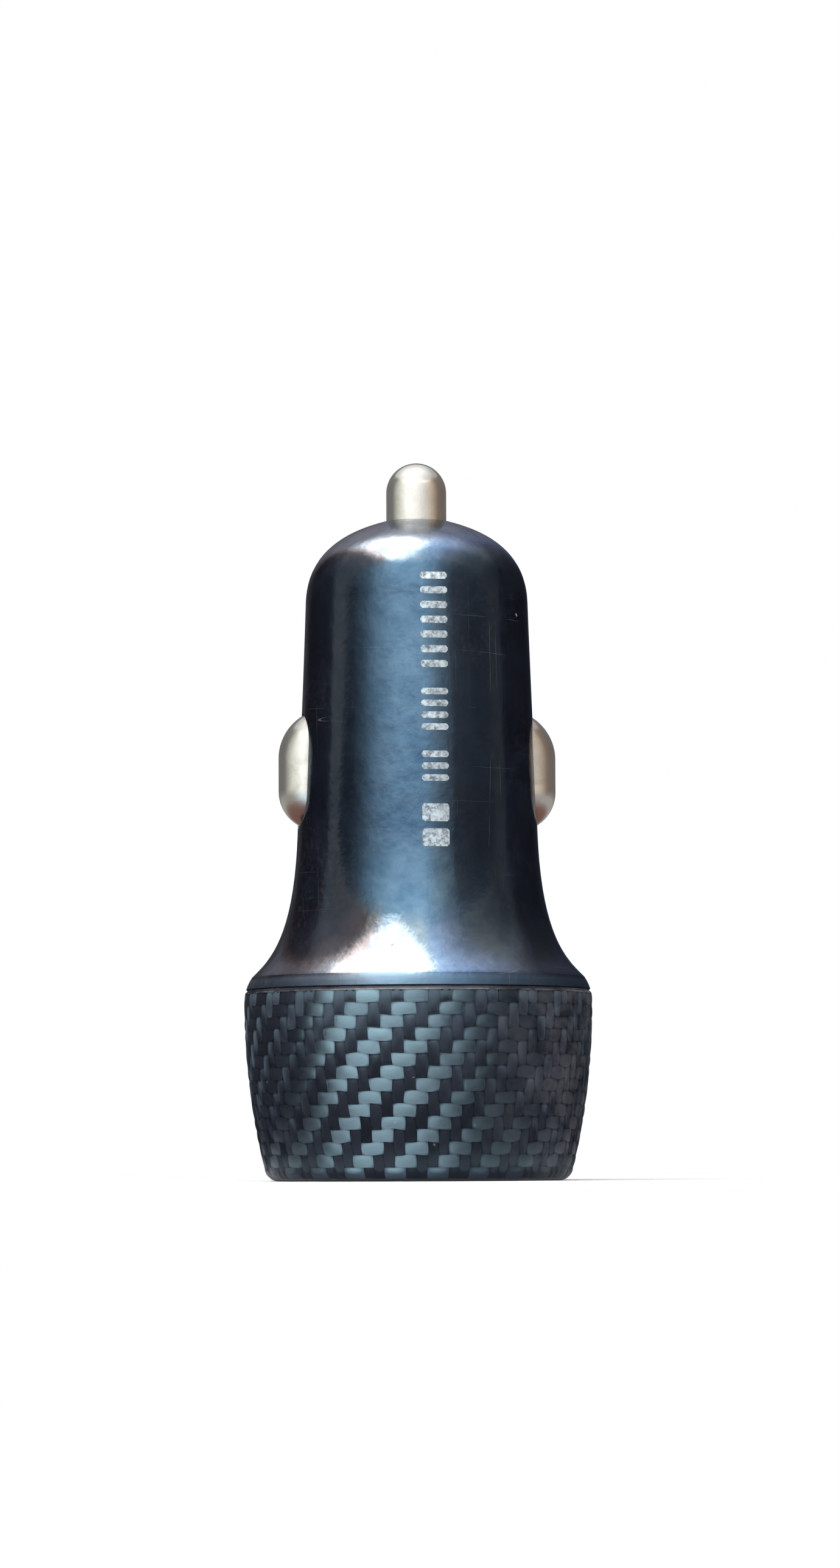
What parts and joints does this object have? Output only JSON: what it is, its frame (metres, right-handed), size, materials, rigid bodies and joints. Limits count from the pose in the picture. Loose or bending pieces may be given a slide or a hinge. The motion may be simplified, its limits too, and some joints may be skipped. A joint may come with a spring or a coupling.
{
  "type": "car usb charger plug",
  "caption": "Plug that fits a car's 12 V socket and charges from its ports: gloss barrel with sprung tip and side contacts, flared into a carbon-weave head.",
  "frame": {"origin": "middle of the head's rim, on the plane that the port end stands on", "axes": "+Z along the plug's axis from the ports to the tip, +X through the right-hand side contact, -Y towards the side that faced the camera"},
  "size_m": [0.0298, 0.0298, 0.0616],
  "materials": {
    "gloss_black": "polished moulding",
    "carbon_weave": "satin twill weave",
    "panel_black": "fine moulded grain",
    "pipe_clear": "clear",
    "nickel": "nickel plate",
    "spring_steel": "drawn wire and strip",
    "board_green": "solder mask",
    "port_steel": "tin plate",
    "insert_black": "moulded",
    "contact_gold": "gold flash",
    "ferrite": "sintered",
    "copper": "enamelled wire",
    "can_metal": "sleeved can",
    "chip_black": "moulded",
    "chip_tan": "ceramic",
    "lamp_white": "lamp"
  },
  "bodies": {
    "charger": {"barrel_housing": "gloss_black", "head_sleeve": "carbon_weave", "port_panel": "panel_black", "light_pipe": "pipe_clear", "tip_spring": "spring_steel", "spring_cup": "spring_steel", "ground_spring_right": "spring_steel", "ground_spring_left": "spring_steel", "circuit_board": "board_green", "usb_shell_rear": "port_steel", "usb_shell_front": "port_steel", "usb_insert_rear": "insert_black", "usb_insert_front": "insert_black", "usb_contacts_rear": "contact_gold", "usb_contacts_front": "contact_gold", "inductor_core": "ferrite", "inductor_winding": "copper", "output_capacitor": "can_metal", "input_capacitor": "can_metal", "regulator_chip": "chip_black", "rectifier_diode": "chip_black", "chip_passives": "chip_tan", "status_led": "lamp_white"},
    "tip": {"tip_pin": "nickel"},
    "left_shoe": {"ground_shoe_left": "nickel"},
    "right_shoe": {"ground_shoe_right": "nickel"}
  },
  "joints": [
    {"name": "tip_press", "type": "slide", "parent": "charger", "child": "tip", "axis": [0, 0, -1], "range_m": [0, 0.0025], "stiffness_N_per_m": 1000, "springref_m": -0.002, "deforming": ["tip_spring"]},
    {"name": "left_shoe_press", "type": "slide", "parent": "charger", "child": "left_shoe", "axis": [1, 0, 0], "range_m": [0, 0.0016], "stiffness_N_per_m": 2000, "springref_m": -0.001, "deforming": ["ground_spring_left"]},
    {"name": "right_shoe_press", "type": "slide", "parent": "charger", "child": "right_shoe", "axis": [-1, 0, 0], "range_m": [0, 0.0016], "stiffness_N_per_m": 2000, "springref_m": -0.001, "deforming": ["ground_spring_right"]}
  ]
}
